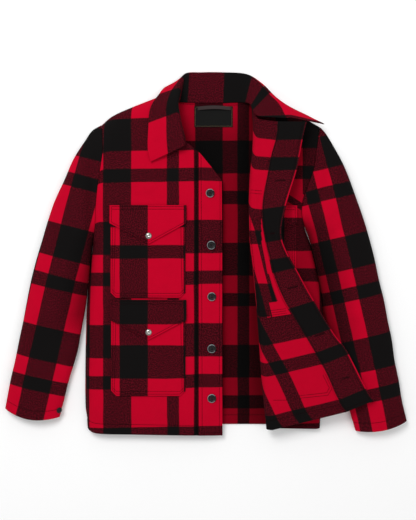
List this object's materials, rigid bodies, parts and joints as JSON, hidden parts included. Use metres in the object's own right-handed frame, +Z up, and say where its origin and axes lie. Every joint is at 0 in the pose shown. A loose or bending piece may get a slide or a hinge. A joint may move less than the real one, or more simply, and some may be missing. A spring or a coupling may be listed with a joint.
{
  "type": "mackinaw jacket",
  "caption": "Heavy plaid wool work jacket with flap pockets and a turned collar, laid flat on its back with its left front folded open",
  "frame": {"origin": "centre of the footprint, on the surface that the jacket lies on", "axes": "+Z up from that surface, +Y towards the collar, +X towards the wearer's left sleeve"},
  "size_m": [0.872, 0.7892, 0.0722],
  "materials": {
    "wool": "napped heavy wool twill in a red and black plaid",
    "button_plastic": "polished black with four thread holes",
    "snap_metal": "bright domed metal cap",
    "label_cloth": "black woven label, bare",
    "loop_cloth": "dark twill tape"
  },
  "bodies": {
    "root": {"back": "wool", "front_right": "wool", "placket_right": "wool", "front_left": "wool", "facing_left": "wool", "inner_pocket_left": "wool", "sleeve_right": "wool", "sleeve_left": "wool", "collar": "wool", "pocket_upper_right": "wool", "flap_upper_right": "wool", "pocket_lower_right": "wool", "flap_lower_right": "wool", "pocket_upper_left": "wool", "flap_upper_left": "wool", "pocket_lower_left": "wool", "flap_lower_left": "wool", "button_1": "button_plastic", "button_2": "button_plastic", "button_3": "button_plastic", "button_4": "button_plastic", "button_5": "button_plastic", "cuff_button_right": "button_plastic", "snap_upper_right": "snap_metal", "snap_lower_right": "snap_metal", "label": "label_cloth", "hanging_loop": "loop_cloth"}
  },
  "joints": []
}
